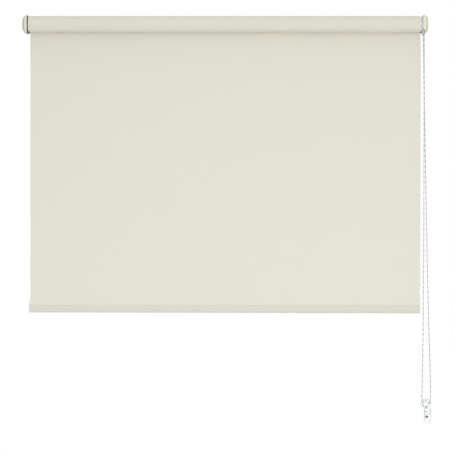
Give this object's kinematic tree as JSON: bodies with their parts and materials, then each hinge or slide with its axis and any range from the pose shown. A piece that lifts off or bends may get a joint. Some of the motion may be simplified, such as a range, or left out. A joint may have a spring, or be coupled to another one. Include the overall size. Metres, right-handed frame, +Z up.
{
  "type": "screen roller blind",
  "caption": "Wall-mounted screen roller blind, half lowered: fabric on a spring-located tube, bead-chain clutch drive, weighted hem bar and a wall tidy for the chain.",
  "frame": {"origin": "on the wall, in the middle of the four screw holes, level with the roller axis", "axes": "+X along the roller towards the chain, +Y into the wall, +Z up"},
  "size_m": [0.9377, 0.072, 0.9382],
  "materials": {
    "steel_bracket": "sheet steel, painted dark bronze",
    "cover_plastic": "moulded cream plastic, fine satin",
    "guard_plastic": "moulded grey-beige plastic",
    "clutch_plastic": "moulded acetal, satin",
    "plug_plastic": "moulded white plastic",
    "spring_steel": "drawn spring wire",
    "pin_steel": "turned steel",
    "tube_aluminium": "mill-finish extrusion",
    "screen_fabric": "open screen weave, coated yarn, cream",
    "chain_cord": "twisted polyester cord",
    "bead_plastic": "moulded grey plastic beads",
    "clear_plastic": "clear moulded polycarbonate",
    "screw_steel": "bright zinc-plated screw"
  },
  "bodies": {
    "root": {"bracket_left": "steel_bracket", "bracket_right": "steel_bracket", "cover_left": "cover_plastic", "cover_right": "cover_plastic", "chain_guard": "guard_plastic", "clutch_stator": "clutch_plastic", "stator_clip": "spring_steel", "fabric_sheet": "screen_fabric", "chain_cord": "chain_cord", "chain_beads": "bead_plastic", "tidy_body": "clear_plastic", "tidy_screw": "screw_steel"},
    "roller": {"roller_tube": "tube_aluminium", "fabric_roll": "screen_fabric", "fabric_spline": "plug_plastic", "drive_hub": "plug_plastic", "sprocket": "clutch_plastic", "brake_spring": "spring_steel", "idle_plug": "plug_plastic", "idle_spring": "spring_steel"},
    "hem": {"hem_bar": "tube_aluminium", "hem_pocket": "screen_fabric", "hem_cap_left": "plug_plastic", "hem_cap_right": "plug_plastic"},
    "pin": {"idle_pin": "pin_steel"}
  },
  "joints": [
    {"name": "roller_spin", "type": "hinge", "parent": "root", "child": "roller", "pos_m": [0, -0.034, 0], "axis": [1, 0, 0], "range_deg": [0, 1755], "deforming": ["chain_beads"]},
    {"name": "hem_lift", "type": "slide", "parent": "root", "child": "hem", "axis": [0, 0, 1], "range_m": [0, 0.6122], "deforming": ["fabric_sheet"]},
    {"name": "idle_pin_slide", "type": "slide", "parent": "roller", "child": "pin", "axis": [1, 0, 0], "range_m": [0, 0.006], "stiffness_N_per_m": 500, "springref_m": -0.006, "deforming": ["idle_spring"]}
  ],
  "couplings": [
    {"joint": "hem_lift", "follows": "roller_spin", "m_per_rad": 0.01998}
  ]
}
